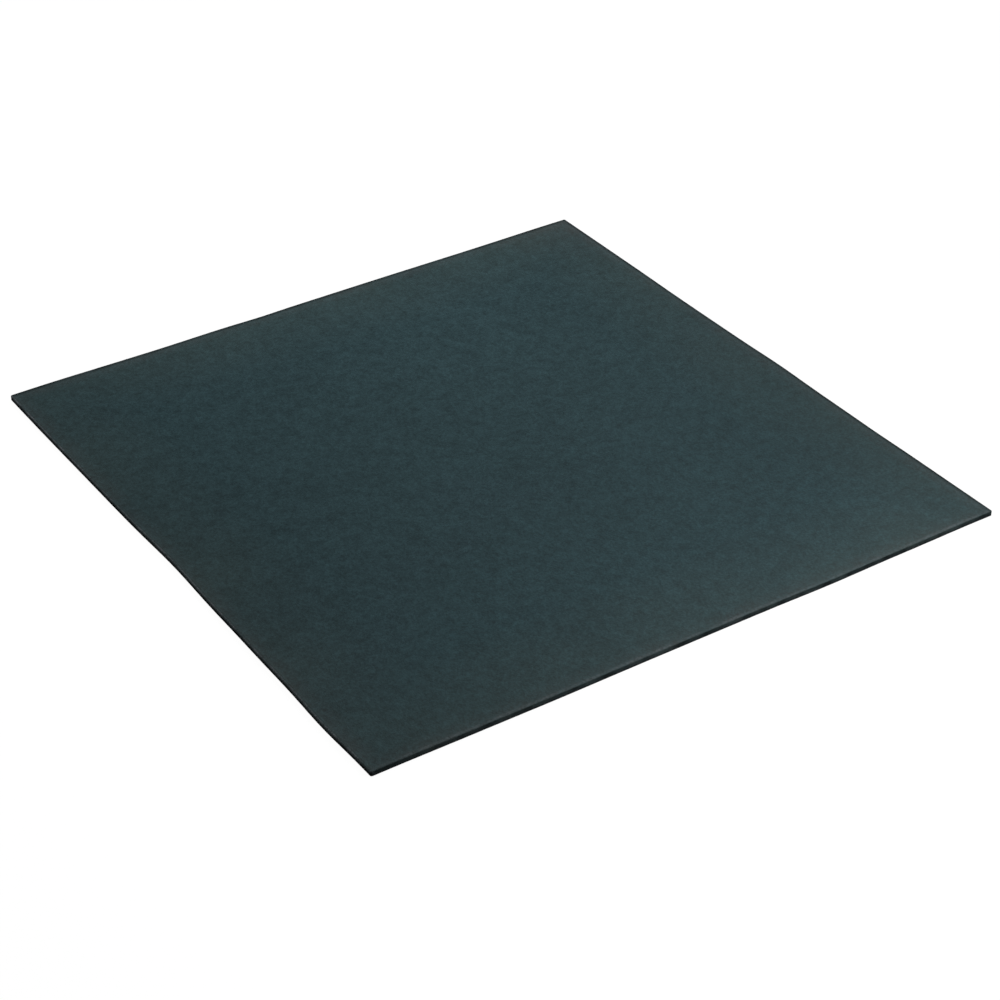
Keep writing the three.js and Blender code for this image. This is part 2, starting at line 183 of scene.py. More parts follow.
class Outline:
    """Points round the mat, anticlockwise from above, that can be set at any inset and corner radius."""

    def __init__(self):
        corners = ((1, -1), (1, 1), (-1, 1), (-1, -1))
        segments = (CELLS_Y * FINE, CELLS_X * FINE)
        self.marks = []
        for i, (u, v) in enumerate(corners):
            next_u, next_v = corners[(i + 1) % 4]
            first_angle = (i - 1) * math.pi / 2
            for k in range(CORNER_STEPS + 1):
                angle = first_angle + k / CORNER_STEPS * math.pi / 2
                self.marks.append((u, v, angle))
            count = segments[i % 2]
            for k in range(1, count):
                t = k / count
                self.marks.append((u + (next_u - u) * t, v + (next_v - v) * t, angle))

    def ring(self, inset, z, corner=CORNER):
        """The outline moved inwards by inset, at height z."""
        radius = max(0.0, corner - inset)
        half_x = HALF_X - inset - radius
        half_y = HALF_Y - inset - radius
        return [
            (u * half_x + math.cos(a) * radius, v * half_y + math.sin(a) * radius, z)
            for u, v, a in self.marks
        ]


OUTLINE = Outline()


class Shell:
    """A closed surface gathered face by face. Points at the same place are one vertex."""

    PLACES = 8  # decimals of a metre

    def __init__(self):
        self.points = []
        self.numbers = {}
        self.faces = []

    def number(self, point):
        key = tuple(round(c, self.PLACES) + 0.0 for c in point)
        if key not in self.numbers:
            self.numbers[key] = len(self.points)
            self.points.append(Vector(point))
        return self.numbers[key]

    def face(self, points):
        corners = []
        for point in points:
            n = self.number(point)
            if n not in corners:
                corners.append(n)
        if len(corners) > 2:
            self.faces.append(corners)

    def band(self, ring, next_ring):
        count = len(ring)
        for i in range(count):
            j = (i + 1) % count
            self.face((ring[i], ring[j], next_ring[j], next_ring[i]))

    def cap(self, inset, z, up):
        """A flat grid that fills a ring with square corners. Its edge cells take the ring's finer points."""
        half_x = HALF_X - inset
        half_y = HALF_Y - inset

        def at(i, j):
            return ((-1 + 2 * i / CELLS_X) * half_x, (-1 + 2 * j / CELLS_Y) * half_y, z)

        for i in range(CELLS_X):
            for j in range(CELLS_Y):
                sides = (
                    (i, j, 1, 0, j == 0),
                    (i + 1, j, 0, 1, i == CELLS_X - 1),
                    (i + 1, j + 1, -1, 0, j == CELLS_Y - 1),
                    (i, j + 1, 0, -1, i == 0),
                )
                points = []
                for x, y, step_x, step_y, on_edge in sides:
                    stops = FINE if on_edge else 1
                    points += [at(x + step_x * k / stops, y + step_y * k / stops) for k in range(stops)]
                self.face(points if up else points[::-1])

    def mesh(self, name):
        mesh = bpy.data.meshes.new(name)
        mesh.from_pydata(self.points, [], self.faces)
        bm = bmesh.new()
        bm.from_mesh(mesh)
        bmesh.ops.recalc_face_normals(bm, faces=bm.faces)
        bm.to_mesh(mesh)
        bm.free()
        return mesh


def closed_shell(profile):
    """A solid of rings. The profile runs from the middle of its lower face, outwards, up and back in."""
    shell = Shell()
    first_inset, first_z = profile[0][:2]
    last_inset, last_z = profile[-1][:2]
    shell.cap(first_inset, first_z, up=False)
    rings = [OUTLINE.ring(*step) for step in profile]
    for ring, next_ring in zip(rings, rings[1:]):
        shell.band(ring, next_ring)
    shell.cap(last_inset, last_z, up=True)
    return shell


def bead(inset):
    """Height of the raised bead along the top edge."""
    away = (inset - BEAD_INSET) / BEAD_WIDTH
    return BEAD_HEIGHT * math.cos(away * math.pi / 2) ** 2 if abs(away) < 1 else 0.0


def top_cover_profile():
    cavity_corner = CAVITY_INSET + CORNER
    profile = [
        (cavity_corner, CAVITY_TOP, 0),
        (CAVITY_INSET, CAVITY_TOP, cavity_corner),
        (CAVITY_INSET, WELD, cavity_corner),
        (2 * WELD_DEPTH, WELD),
        (WELD_DEPTH, WELD),
        (WELD_DEPTH / 3, WELD + WELD_HEIGHT / 2),
        (0.0, WELD + WELD_HEIGHT),
        (0.0, WELD + 5 * WELD_HEIGHT),
        (0.0, (WELD + TOP) / 2),
    ]
    for k in range(ROLL_STEPS + 1):
        angle = k / ROLL_STEPS * math.pi / 2
        inset = ROLL * (1 - math.cos(angle))
        profile.append((inset, TOP - ROLL * (1 - math.sin(angle)) + bead(inset)))
    inner = BEAD_INSET + BEAD_WIDTH
    for k in range(1, BEAD_STEPS + 1):
        inset = ROLL + (inner - ROLL) * k / BEAD_STEPS
        profile.append((inset, TOP + bead(inset)))
    profile.append(((inner + WANDER_INNER) / 2, TOP))
    profile.append((WANDER_INNER, TOP))
    return profile


def bottom_cover_profile():
    profile = [(WANDER_INNER, 0.0)]
    for k in range(ROLL_STEPS + 1):
        angle = k / ROLL_STEPS * math.pi / 2
        profile.append((BASE_ROLL * (1 - math.sin(angle)), BASE_ROLL * (1 - math.cos(angle))))
    profile += [
        (0.0, WELD - 2 * WELD_HEIGHT),
        (0.0, WELD - WELD_HEIGHT),
        (WELD_DEPTH / 3, WELD - WELD_HEIGHT / 2),
        (WELD_DEPTH, WELD),
        (2 * WELD_DEPTH, WELD),
        (WANDER_INNER, WELD),
    ]
    return profile


# ---- How the covers depart from straight ----


def smooth(value, low, high):
    t = min(1.0, max(0.0, (value - low) / (high - low)))
    return t * t * (3 - 2 * t)


def edge_share(depth):
    """1 at the mat's edge, 0 over the layers inside."""
    return 1 - smooth(depth, WANDER_OUTER, WANDER_INNER)


def painted_edge_light(point):
    """How much painted shade, and how much painted highlight with a little edge wear, a point near the edge
    takes, each from 0 to 1.
    """
    distances = {
        "left": HALF_X + point.x,
        "right": HALF_X - point.x,
        "front": HALF_Y + point.y,
        "back": HALF_Y - point.y,
    }
    painted_shade = highlight_and_wear = 0.0
    for side, (shade_strength, fade, end, middle, reach, strength) in EDGE_PAINTED_LIGHT.items():
        inwards = distances[side] - (TOP - point.z)
        painted_shade = max(painted_shade, shade_strength * (1 - smooth(inwards, fade, end)))
        if distances[side] < CAVITY_INSET:
            highlight_and_wear = max(highlight_and_wear, strength * (1 - smooth(abs(inwards - middle), 0, reach)))
    return painted_shade, highlight_and_wear


def wander(side, share):
    return sum(
        reach * math.exp(-(((share - place) / spread) ** 2))
        for where, place, reach, spread in EDGE_WANDER
        if where == side
    )


def wandered(point):
    """A point moved with the soft edges that it is near."""
    share_x = (point.x + HALF_X) / (2 * HALF_X)
    share_y = (point.y + HALF_Y) / (2 * HALF_Y)
    x, y = point.x, point.y
    y -= edge_share(point.y + HALF_Y) * wander("front", share_x)
    y += edge_share(HALF_Y - point.y) * wander("back", share_x)
    x -= edge_share(point.x + HALF_X) * wander("left", share_y)
    x += edge_share(HALF_X - point.x) * wander("right", share_y)
    return Vector((x, y, point.z))


def uneven(point):
    """A point of the cut edge, moved a little in and out and up and down."""
    depth = min(HALF_X - abs(point.x), HALF_Y - abs(point.y))
    beside_inlet = point.x < -HALF_X + CAVITY_INSET and abs(point.y) < HOUSING_HIGH.y + GATE_OVERRUN
    share = 1 - smooth(depth, 0, BEAD_INSET + BEAD_WIDTH)
    if share == 0 or point.z <= 0 or beside_inlet:
        return point
    place = Vector((point.x, point.y, CUT_HEIGHT_SHARE * point.z)) / CUT_LENGTH
    shift = noise.noise_vector(place) + CUT_DETAIL_SHARE * noise.noise_vector(place * CUT_DETAIL)
    return point + shift * CUT_ROUGHNESS * share


def swollen(point):
    """A point of the top face, raised or lowered with the slow swell of the sheet."""
    if point.z < (CAVITY_TOP + TOP) / 2:
        return point
    place = Vector((point.x, point.y, 0)) / SWELL_LENGTH
    detail = noise.noise(place * SWELL_DETAIL + SWELL_DETAIL_PLACE)
    lift = noise.noise(place) + SWELL_DETAIL_SHARE * detail
    return point + Vector((0, 0, SWELL * lift))


# ---- Pieces ----


def add_piece(name, mesh):
    piece = bpy.data.objects.new(name, mesh)
    bpy.context.scene.collection.objects.link(piece)
    return piece


def stand_for(piece, node):
    """Puts a piece in a CAD node's place."""
    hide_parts(node)
    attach(piece, "root")


def cut_gate(piece):
    """Opens the rim where the inlet stands."""
    low = Vector((HOUSING_LOW.x - GATE_OVERRUN, HOUSING_LOW.y - GATE_GAP, WELD - GATE_OVERRUN))
    high = Vector((-HALF_X + CAVITY_INSET + GATE_OVERRUN, HOUSING_HIGH.y + GATE_GAP, CAVITY_TOP))
    mesh = bpy.data.meshes.new("gate_cutter")
    bm = bmesh.new()
    place = Matrix.Translation((low + high) / 2) @ Matrix.Diagonal((*(high - low), 1))
    bmesh.ops.create_cube(bm, size=1, matrix=place)
    bm.to_mesh(mesh)
    bm.free()
    cutter = bpy.data.objects.new("gate_cutter", mesh)
    bpy.context.scene.collection.objects.link(cutter)
    modifier = piece.modifiers.new("gate", "BOOLEAN")
    modifier.operation = "DIFFERENCE"
    modifier.solver = "EXACT"
    modifier.object = cutter
    evaluated = piece.evaluated_get(bpy.context.evaluated_depsgraph_get())
    cut = bpy.data.meshes.new_from_object(evaluated)
    piece.modifiers.clear()
    piece.data = cut
    bpy.data.objects.remove(cutter)


def form_cover(piece, *changes):
    """Bends the straight cover into its soft shape, and stores where its edge takes painted shade and a
    painted highlight with a little edge wear.
    """
    mesh = piece.data
    marks = [painted_edge_light(vertex.co) for vertex in mesh.vertices]
    for name, values in zip(("edge_painted_shade", "edge_highlight_and_wear"), zip(*marks)):
        mesh.attributes.new(name, "FLOAT", "POINT").data.foreach_set("value", values)
    for vertex in mesh.vertices:
        point = vertex.co.copy()
        for change in changes:
            point = change(point)
        vertex.co = point
    mesh.shade_smooth()
    mesh.set_sharp_from_angle(angle=CREASE)


def make_covers():
    top = add_piece("top_cover_skin", closed_shell(top_cover_profile()).mesh("top_cover_skin"))
    cut_gate(top)
    form_cover(top, swollen, uneven, wandered)
    stand_for(top, "top_cover")
    base = add_piece("bottom_cover_skin", closed_shell(bottom_cover_profile()).mesh("bottom_cover_skin"))
    form_cover(base, uneven, wandered)
    stand_for(base, "bottom_cover")
    return top, base


# ---- Wires, splices and leads ----


def rounded_route(corners, radius, spacing):
    """Places along a level line with rounded right-angled corners, no further apart than the spacing."""
    stops = [Vector(corners[0])]
    for before, corner, after in zip(corners, corners[1:], corners[2:]):
        back = (Vector(before) - Vector(corner)).normalized() * radius
        ahead = (Vector(after) - Vector(corner)).normalized() * radius
        centre = Vector(corner) + back + ahead
        for k in range(TURN_STEPS + 1):
            turn = k / TURN_STEPS * math.pi / 2
            stops.append(centre - ahead * math.cos(turn) - back * math.sin(turn))
    stops.append(Vector(corners[-1]))
    places = [stops[0]]
    for start, stop in zip(stops, stops[1:]):
        length = (stop - start).length
        if length > SAME_PLACE:
            count = max(1, math.ceil(length / spacing))
            places += [start.lerp(stop, (k + 1) / count) for k in range(count)]
    return places


def swept(places, sides, outer, inner=None, lay=None):
    """A rod along a level line, or a tube if it has an inner radius.

    The radii are functions of the distance along and of the angle round the section. With a lay, the section
    makes one turn in that length.
    """
    shell = Shell()
    outsides, insides = [], []
    along = 0.0
    for i, place in enumerate(places):
        before = places[max(0, i - 1)]
        after = places[min(len(places) - 1, i + 1)]
        along += (place - before).length
        ahead = (after - before).normalized()
        sideways = Vector((-ahead.y, ahead.x, 0))
        twist = 2 * math.pi * along / lay if lay else 0.0
        for rings, radius in ((outsides, outer), (insides, inner)):
            if radius is None:
                continue
            ring = []
            for k in range(sides):
                angle = 2 * math.pi * k / sides
                arm = sideways * math.cos(angle + twist) + Vector((0, 0, 1)) * math.sin(angle + twist)
                ring.append(tuple(Vector((*place, WIRE_Z)) + arm * radius(along, angle)))
            rings.append(ring)
    for rings in (outsides, insides):
        for ring, next_ring in zip(rings, rings[1:]):
            shell.band(ring, next_ring)
    for end in (0, -1):
        if inner is None:
            shell.face(outsides[end])
        else:
            shell.band(outsides[end], insides[end])
    return shell


def steady(radius):
    return lambda along, angle: radius


def strands(radius):
    """The outline of a bundle of six strands round a seventh."""
    return lambda along, angle: radius * (1 - STRAND_GROOVE * (1 - abs(math.cos(3 * angle))))


def pressed(radius, *presses, end_softness=0.0, length=None):
    """A radius that is pressed in at places along, each given as its distance, half length and depth."""

    def at(along, angle):
        depth = sum(deep * math.exp(-(((along - place) / reach) ** 2)) for place, reach, deep in presses)
        if length is not None:
            to_end = min(along, length - along)
            depth += end_softness * (1 - smooth(to_end, 0, 2 * end_softness))
        return radius - depth

    return at


def necked(radius, place, reach, depth, ripple):
    """A sleeve's radius, which shrinks past a place along it and ripples a little."""

    def at(along, angle):
        wave = noise.noise(Vector((along / (2 * reach), math.cos(angle), math.sin(angle))))
        return radius - depth * smooth(along, place, place + reach) - ripple * (1 + wave)

    return at


def wire_piece(node, shell, look):
    piece = add_piece(node + "_round", shell.mesh(node + "_round"))
    piece.data.shade_smooth()
    piece.data.set_sharp_from_angle(angle=CREASE)
    piece.data.materials.append(look)
    stand_for(piece, node)


def heating_route(end_x):
    corners = []
    outer_row = (ROWS - 1) / 2 * ROW_PITCH
    for row in range(ROWS):
        y = row * ROW_PITCH - outer_row
        left = end_x if row in (0, ROWS - 1) else FIELD_LEFT
        ends = ((left, y), (FIELD_RIGHT, y))
        corners += ends if row % 2 == 0 else ends[::-1]
    return rounded_route(corners, ROW_PITCH / 2, WIRE_SPACING)


def make_heating_wire(looks):
    core_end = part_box("heating_wire_core")[0].x
    sheath_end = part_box("heating_wire_sheath")[0].x
    core = swept(heating_route(core_end), CORE_SIDES, steady(CORE_RADIUS))
    sheath = swept(heating_route(sheath_end), SHEATH_SIDES, steady(SHEATH_RADIUS), steady(SHEATH_BORE))
    wire_piece("heating_wire_core", core, looks["resistance_wire"])
    wire_piece("heating_wire_sheath", sheath, looks["wire_sheath"])


def lead_corners(name, node, radius):
    """The way-points of a lead's conductor or insulation, from the room that its CAD node takes."""
    low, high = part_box(node)
    if name == "supply_lead":
        y = high.y - radius
        return [(low.x, y), (LANE_X, y), (LANE_X, low.y)]
    if name == "link_lead":
        y = low.y + radius
        return [(LANE_X, high.y), (LANE_X, y), (high.x, y)]
    first, last = high.y - radius, low.y + radius
    return [(high.x, first), (LANE_X, first), (LANE_X, last), (low.x, last)]


def make_leads(looks):
    for name in ("supply_lead", "link_lead", "return_lead"):
        node = name + "_conductor"
        route = rounded_route(lead_corners(name, node, CONDUCTOR_RADIUS), LEAD_BEND, STRAND_SPACING)
        shell = swept(route, STRAND_SIDES, strands(CONDUCTOR_RADIUS), lay=STRAND_LAY)
        wire_piece(node, shell, looks["lead_copper"])
        node = name + "_insulation"
        route = rounded_route(lead_corners(name, node, LEAD_RADIUS), LEAD_BEND, WIRE_SPACING)
        shell = swept(route, LEAD_SIDES, steady(LEAD_RADIUS), steady(LEAD_BORE))
        wire_piece(node, shell, looks["lead_insulation"])


def straight_route(node):
    low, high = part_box(node)
    y = (low.y + high.y) / 2
    return rounded_route([(low.x, y), (high.x, y)], 0, SPLICE_SPACING)


def make_splices(looks):
    """Each crimp is pressed over the lead's conductor and, deeper, over the thinner heating wire."""
    for side in ("supply", "return"):
        node = "splice_crimp_" + side
        low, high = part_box(node)
        length = high.x - low.x
        presses = [
            ((length / 4, CRIMP_PRESS, over_lead), (length * 3 / 4, CRIMP_PRESS, over_wire))
            for over_lead, over_wire in zip(CRIMP_LEAD_PRESS, CRIMP_WIRE_PRESS)
        ]
        outer = pressed(CRIMP_RADIUS, *presses[0], end_softness=CRIMP_END_SOFTNESS, length=length)
        inner = pressed(CRIMP_BORE, *presses[1])
        shell = swept(straight_route(node), LEAD_SIDES, outer, inner)
        wire_piece(node, shell, looks["crimp"])
        node = "splice_sleeve_" + side
        low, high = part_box(node)
        neck = (high.x - low.x) * SLEEVE_NECK
        outer = necked(SLEEVE_RADIUS, neck, SLEEVE_NECK_LENGTH, SLEEVE_SHRINK, SLEEVE_RIPPLE)
        inner = necked(SLEEVE_BORE, neck, SLEEVE_NECK_LENGTH, SLEEVE_SHRINK, 0.0)
        shell = swept(straight_route(node), LEAD_SIDES, outer, inner)
        wire_piece(node, shell, looks["sleeve"])


def soften(node, width):
    """Rounds a carried-over piece's edges."""
    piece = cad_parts[node]
    weld = piece.modifiers.new("weld", "WELD")
    weld.merge_threshold = SAME_PLACE
    bevel = piece.modifiers.new("soft_edges", "BEVEL")
    bevel.width = width
    bevel.segments = BEVEL_SEGMENTS
    bevel.limit_method = "ANGLE"
    bevel.angle_limit = CREASE
    bevel.harden_normals = True


# ---- Materials ----


class Look:
    """A material under construction: a Principled surface and short ways to feed it."""

    def __init__(self, name, roughness=0.5, metallic=0.0):
        self.material = bpy.data.materials.new(name)
        self.material.use_nodes = True
        self.tree = self.material.node_tree
        self.surface = self.tree.nodes["Principled BSDF"]
        self.surface.inputs["Metallic"].default_value = metallic
        self.surface.inputs["Roughness"].default_value = roughness
        self.place = self.tree.nodes.new("ShaderNodeTexCoord").outputs["Object"]

    def add(self, kind, settings=None, **inputs):
        """A node. Its inputs are given by name, with _ for a space, as numbers or as other nodes' outputs."""
        made = self.tree.nodes.new("ShaderNode" + kind)
        for key, value in (settings or {}).items():
            setattr(made, key, value)
        for key, value in inputs.items():
            self.feed(made.inputs[key.replace("_", " ")], value)
        return made

    def feed(self, socket, value):
        if isinstance(value, bpy.types.NodeSocket):
            self.tree.links.new(value, socket)
        else:
            socket.default_value = value

    def set(self, **inputs):
        for key, value in inputs.items():
            self.feed(self.surface.inputs[key.replace("_", " ")], value)
        return self

    def noise(self, size, detail=2.0, place=None, rough=0.5):
        """Cloudy noise, from 0 to 1, with features of the given size."""
        settings = {"noise_dimensions": "3D"}
        place = self.place if place is None else place
        made = self.add("TexNoise", settings, Vector=place, Scale=1 / size, Detail=detail, Roughness=rough)
        return made.outputs["Fac"]

    def streaks(self, x, y, z, detail=3, rough=0.5):
        """Noise with features of the given sizes along the axes."""
        made = self.add("Mapping", {"vector_type": "POINT"}, Vector=self.place, Scale=(1 / x, 1 / y, 1 / z))
        return self.noise(1.0, detail, place=made.outputs["Vector"], rough=rough)

    def cells(self, size, feature="F1"):
        """Cells of the given size: 0 at a cell's middle."""
        made = self.add("TexVoronoi", {"feature": feature}, Vector=self.place, Scale=1 / size)
        return made.outputs["Distance"]

    def remap(self, value, low, high, to_low=0.0, to_high=1.0):
        names = {"From_Min": low, "From_Max": high, "To_Min": to_low, "To_Max": to_high}
        return self.add("MapRange", {"clamp": True}, Value=value, **names).outputs["Result"]

    def fading(self, distance, reach, share):
        """A share that fades to nothing as a distance grows to its reach."""
        return self.remap(distance, 0, reach, share, 0)

    def math(self, operation, first, second=0.0):
        made = self.add("Math", {"operation": operation})
        self.feed(made.inputs[0], first)
        self.feed(made.inputs[1], second)
        return made.outputs[0]

    def mix(self, share, first, second):
        """Two colours, mixed by a share."""
        made = self.add("Mix", {"data_type": "RGBA"})
        self.feed(made.inputs[0], share)
        for socket, colour in ((made.inputs[6], first), (made.inputs[7], second)):
            self.feed(socket, colour if isinstance(colour, bpy.types.NodeSocket) else (*colour, 1))
        return made.outputs[2]

    def scaled(self, colour, factor):
        """A colour made lighter or darker by a factor."""
        made = self.add("VectorMath", {"operation": "SCALE"})
        self.feed(made.inputs[0], colour)
        self.feed(made.inputs["Scale"], factor)
        return made.outputs[0]

    def varied(self, colour, share, contrast):
        """A colour that is darker where a share is 0, and lighter where it is 1."""
        return self.mix(share, self.scaled(colour, 1 - contrast), self.scaled(colour, 1 + contrast))

    def attribute(self, name):
        return self.add("Attribute", {"attribute_name": name}).outputs["Fac"]

    def inwards(self):
        """The distance in from the nearest edge, and from the left back corner along both of its sides."""
        split = self.add("SeparateXYZ", Vector=self.place)
        x, y = split.outputs["X"], split.outputs["Y"]
        to_x = self.math("SUBTRACT", HALF_X, self.math("ABSOLUTE", x))
        to_y = self.math("SUBTRACT", HALF_Y, self.math("ABSOLUTE", y))
        from_corner = self.math("SUBTRACT", self.math("ADD", x, HALF_X + HALF_Y), y)
        return self.math("MINIMUM", to_x, to_y), from_corner

    def bump(self, height, depth, onto=None):
        """A bump whose height runs from 0 to 1, scaled to a depth in metres."""
        made = self.add("Bump", Height=height, Distance=depth, Strength=1.0)
        if onto is not None:
            self.feed(made.inputs["Normal"], onto)
        return made.outputs["Normal"]


def shade(colour, factor):
    return tuple(c * factor for c in colour)


# Noise mostly keeps near its middle, so these parts of its range become the whole range of a tone
SOFT = (0.3, 0.7)
CRISP = (0.35, 0.65)

TOP_COLOUR = (0.0180, 0.0373, 0.0424)
# painted shade along the mat's edges and low on the near side faces
PAINTED_SHADE_COLOUR = (0.0048, 0.0074, 0.0080)
# painted highlight along the edge's roll and bead, with a little edge wear
HIGHLIGHT_AND_WEAR_COLOUR = (0.11, 0.125, 0.135)
RIM_COLOUR = (0.15, 0.065, 0.05)
HANDLED_COLOUR = (0.13, 0.105, 0.045)

TOP_PEBBLE = 1.3 * MM
TOP_GRAIN = 1.6 * MM
TOP_GRAIN_CONTRAST = 0.18
TOP_MOTTLE = 7 * MM
TOP_MOTTLE_CONTRAST = 0.28
TOP_CLOUD = 120 * MM
TOP_CLOUD_CONTRAST = 0.03
TOP_PATCH = 14 * MM  # size of the patches that vary the edge's painted shade and painted highlight

HANDLED = (80 * MM, 0.09)  # how far in from the edge a tint reaches, and its share at the edge
RIM = (14 * MM, 0.08)
BROWNED_CORNER = (100 * MM, 0.10)
RIM_PATCH = 25 * MM

TOP_GRAIN_DEPTH = 0.07 * MM
TOP_MOTTLE_DEPTH = 0.05 * MM
TOP_ROUGHNESS = (0.66, 0.80)
TOP_SHEEN = 0.12
# the rubber's sheen where the edge takes painted shade
PAINTED_SHADE_SHEEN = 0.06
PAINTED_SHADE_BY_PATCH = (0.5, 1.45)  # how much of the edge's painted shade, from patch to patch
# the edge's painted highlight with a little wear: how much from patch to patch, and with the grain
HIGHLIGHT_AND_WEAR_BY_PATCH = (1.8, 0.3)
HIGHLIGHT_AND_WEAR_BY_GRAIN = (0.02, 0.2)


def top_rubber():
    """Dark slate-green rubber with a fine pebble grain, greyer at its edge and browner at one corner, with
    painted shade and a painted highlight along its edges.
    """
    look = Look("top_rubber")
    pebbles = look.cells(TOP_PEBBLE)
    fine = look.noise(TOP_GRAIN, 2, rough=0.7)
    mottle = look.noise(TOP_MOTTLE, 4, rough=0.8)
    clouds = look.noise(TOP_CLOUD, 2)
    patches = look.noise(TOP_PATCH, 3, rough=0.6)

    darker = shade(TOP_COLOUR, 1 - TOP_CLOUD_CONTRAST)
    lighter = shade(TOP_COLOUR, 1 + TOP_CLOUD_CONTRAST)
    colour = look.mix(look.remap(clouds, *CRISP), darker, lighter)
    colour = look.varied(colour, look.remap(mottle, *SOFT), TOP_MOTTLE_CONTRAST)
    colour = look.varied(colour, look.remap(fine, *CRISP), TOP_GRAIN_CONTRAST)

    from_edge, from_corner = look.inwards()
    handled = look.math("MULTIPLY", look.fading(from_edge, *HANDLED), clouds)
    colour = look.mix(handled, colour, HANDLED_COLOUR)
    rim = look.math("ADD", look.fading(from_edge, *RIM), look.fading(from_corner, *BROWNED_CORNER))
    colour = look.mix(look.math("MULTIPLY", rim, look.noise(RIM_PATCH, 2)), colour, RIM_COLOUR)

    # painted shade along the edges, varied from patch to patch
    painted_shade = look.math("MULTIPLY", look.attribute("edge_painted_shade"), look.remap(patches, *CRISP, *PAINTED_SHADE_BY_PATCH))
    colour = look.mix(painted_shade, colour, PAINTED_SHADE_COLOUR)
    # painted highlight along the edges, with a little wear, broken up by the grain and by patches
    highlight_and_wear = look.math("MULTIPLY", look.attribute("edge_highlight_and_wear"), look.remap(fine, *SOFT, *HIGHLIGHT_AND_WEAR_BY_GRAIN))
    highlight_and_wear = look.math("MULTIPLY", highlight_and_wear, look.remap(patches, *CRISP, *HIGHLIGHT_AND_WEAR_BY_PATCH))
    colour = look.mix(highlight_and_wear, colour, HIGHLIGHT_AND_WEAR_COLOUR)

    height = look.math("SUBTRACT", look.remap(fine, *SOFT, 0, 0.6), pebbles)
    look.set(
        Base_Color=colour,
        Roughness=look.remap(mottle, *SOFT, *TOP_ROUGHNESS),
        Specular_IOR_Level=look.remap(painted_shade, 0, 0.7, TOP_SHEEN, PAINTED_SHADE_SHEEN),
        Normal=look.bump(height, TOP_GRAIN_DEPTH, look.bump(mottle, TOP_MOTTLE_DEPTH)),
    )
    return look.material


BASE_COLOUR = (0.006, 0.008, 0.009)
BASE_GRAIN = 0.5 * MM
BASE_MOTTLE = 7 * MM


def base_rubber():
    """Black rubber, duller than the top."""
    look = Look("base_rubber")
    fine = look.noise(BASE_GRAIN, 3)
    mottle = look.remap(look.noise(BASE_MOTTLE, 2), *SOFT)
    look.set(
        Base_Color=look.mix(mottle, shade(BASE_COLOUR, 0.8), shade(BASE_COLOUR, 1.25)),
        Roughness=look.remap(mottle, 0, 1, 0.74, 0.86),
        Specular_IOR_Level=0.25,
        Normal=look.bump(fine, 0.08 * MM),
    )
    return look.material


FOAM_COLOUR = (0.69, 0.72, 0.68)
FOAM_CELL = 0.5 * MM
FOAM_CLOUD = 30 * MM


def closed_foam():
    """Pale closed-cell foam: small round cells with thin walls."""
    look = Look("closed_foam", roughness=0.95)
    walls = look.remap(look.cells(FOAM_CELL), 0.1, 0.7)
    clouds = look.noise(FOAM_CLOUD, 3)
    colour = look.mix(walls, shade(FOAM_COLOUR, 0.78), FOAM_COLOUR)
    colour = look.mix(look.remap(clouds, *SOFT), colour, look.scaled(colour, 0.93))
    look.set(Base_Color=colour, Specular_IOR_Level=0.3, Normal=look.bump(walls, 0.10 * MM))
    return look.material


# Each foil: its material's name, its colour, the size of its crinkles and its roughness
FOILS = {
    "reflector": ("reflector_foil", (0.82, 0.83, 0.84), 2.5 * MM, 0.16),
    "spreader": ("spreader_foil", (0.86, 0.87, 0.88), 4.0 * MM, 0.28),
}
FOIL_DULL_PATCH = 18 * MM
ROLLING_STREAK = (60 * MM, 0.4 * MM, 0.4 * MM)


def foil(name, colour, crinkle, roughness):
    """Thin aluminium foil with fine crinkles and rolling streaks."""
    look = Look(name, metallic=1.0)
    creases = look.remap(look.cells(crinkle, "F2"), 0.2, 1.0)
    streaks = look.streaks(*ROLLING_STREAK)
    dull = look.noise(FOIL_DULL_PATCH, 3)
    mixed = look.mix(look.remap(dull, 0.35, 0.7), colour, shade(colour, 0.84))
    rough = look.math("MULTIPLY", look.remap(dull, *SOFT, 0.8, 1.25), roughness)
    normal = look.bump(creases, 0.05 * MM, look.bump(streaks, 0.004 * MM))
    look.set(Base_Color=mixed, Roughness=rough, Normal=normal)
    return look.material


FLEECE_COLOUR = (0.81, 0.79, 0.70)
FIBRE_LENGTH = 5 * MM
FIBRE_WIDTH = 0.12 * MM
FLEECE_MAT = 9 * MM


def fleece():
    """Thin off-white fleece: fibres that cross at random, matted more in some places."""
    look = Look("carrier_fleece", roughness=0.95)
    across = look.streaks(FIBRE_LENGTH, FIBRE_WIDTH, FIBRE_WIDTH, 4, rough=0.6)
    along = look.streaks(FIBRE_WIDTH, FIBRE_LENGTH, FIBRE_WIDTH, 4, rough=0.6)
    fibres = look.math("MAXIMUM", across, along)
    matted = look.noise(FLEECE_MAT, 3)
    colour = look.mix(look.remap(fibres, 0.4, 0.75), shade(FLEECE_COLOUR, 0.70), FLEECE_COLOUR)
    colour = look.mix(look.remap(matted, 0.35, 0.7), colour, look.scaled(colour, 0.9))
    look.set(Base_Color=colour, Specular_IOR_Level=0.2, Normal=look.bump(fibres, 0.05 * MM))
    return look.material


